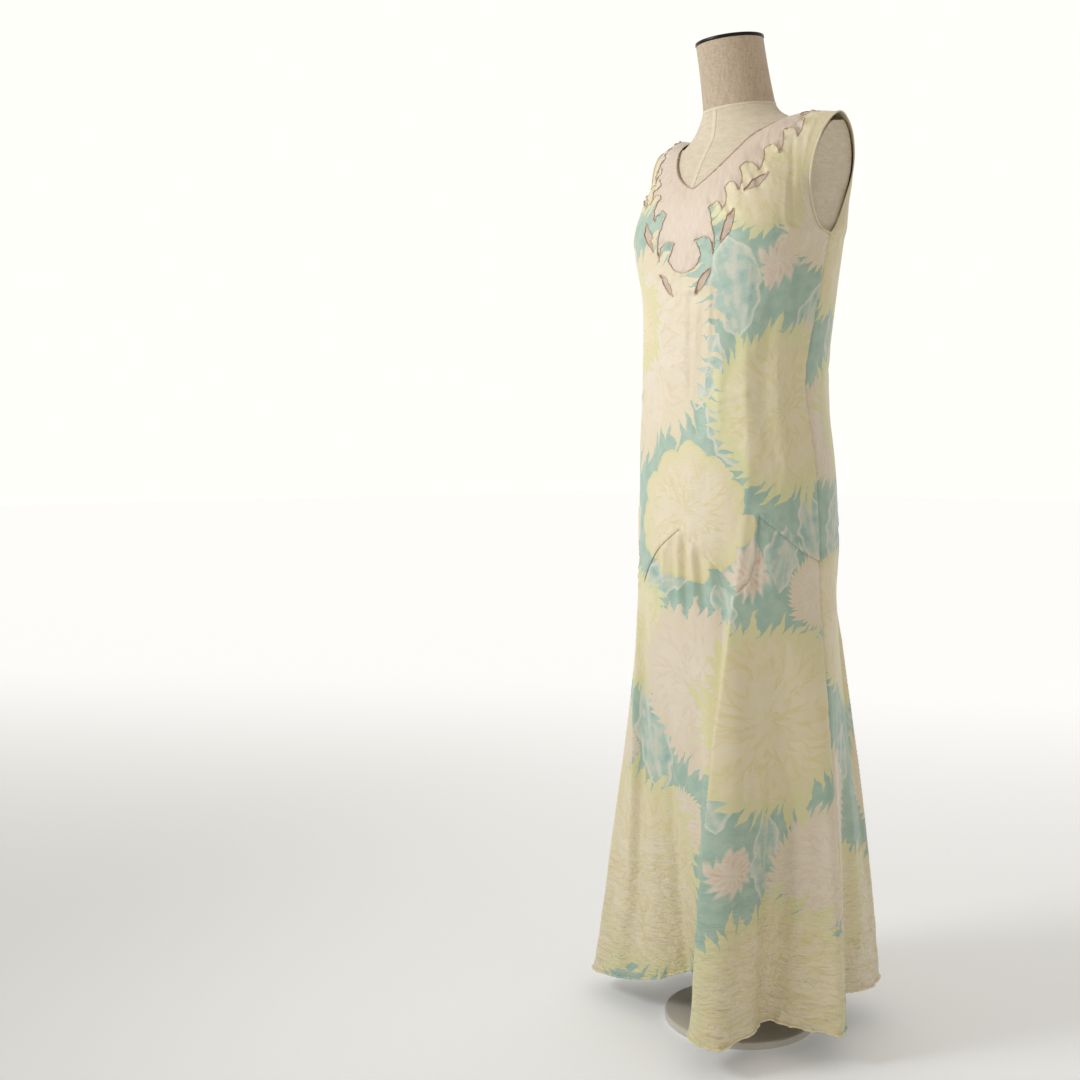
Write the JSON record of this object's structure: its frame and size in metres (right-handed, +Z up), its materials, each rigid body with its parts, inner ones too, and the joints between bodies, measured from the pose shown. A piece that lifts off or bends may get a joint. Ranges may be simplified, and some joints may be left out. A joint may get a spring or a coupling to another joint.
{
  "type": "sleeveless flapper dress on a limbless dress form",
  "caption": "Long sleeveless silk dress with a leaf-edged V yoke, pointed hip seam and flared skirt, on a limbless form with a round stand.",
  "frame": {"origin": "centre of the stand's underside, on the floor", "axes": "+Z up; the dress faces -Y, so the wearer's left is +X"},
  "size_m": [0.4269, 0.3867, 1.4554],
  "materials": {
    "print_silk": "printed silk crepe with a soft sheen: cream, pale yellow and blush chrysanthemums on aqua",
    "sheer_silk": "blush sheer silk",
    "cord": "twisted dusty pink cord",
    "linen": "pale linen over a rigid form",
    "neck_linen": "natural linen over a rigid form",
    "cap": "dark stained wood, satin",
    "enamel": "pale enamel, satin"
  },
  "bodies": {
    "root": {"form_torso": "linen", "form_neck": "neck_linen", "form_neck_cap": "cap", "form_pole": "enamel", "form_base": "enamel", "dress_front_bodice": "print_silk", "dress_back_bodice": "print_silk", "dress_front_skirt": "print_silk", "dress_back_skirt": "print_silk", "dress_yoke": "sheer_silk", "yoke_cord": "cord", "leaf_cord_low_left": "cord", "leaf_cord_low_right": "cord", "leaf_cord_middle_left": "cord", "leaf_cord_middle_right": "cord", "leaf_cord_high_left": "cord", "leaf_cord_high_right": "cord", "neck_binding_front": "sheer_silk", "neck_binding_back": "print_silk", "armhole_binding_left": "print_silk", "armhole_binding_right": "print_silk", "side_placket": "print_silk"}
  },
  "joints": []
}
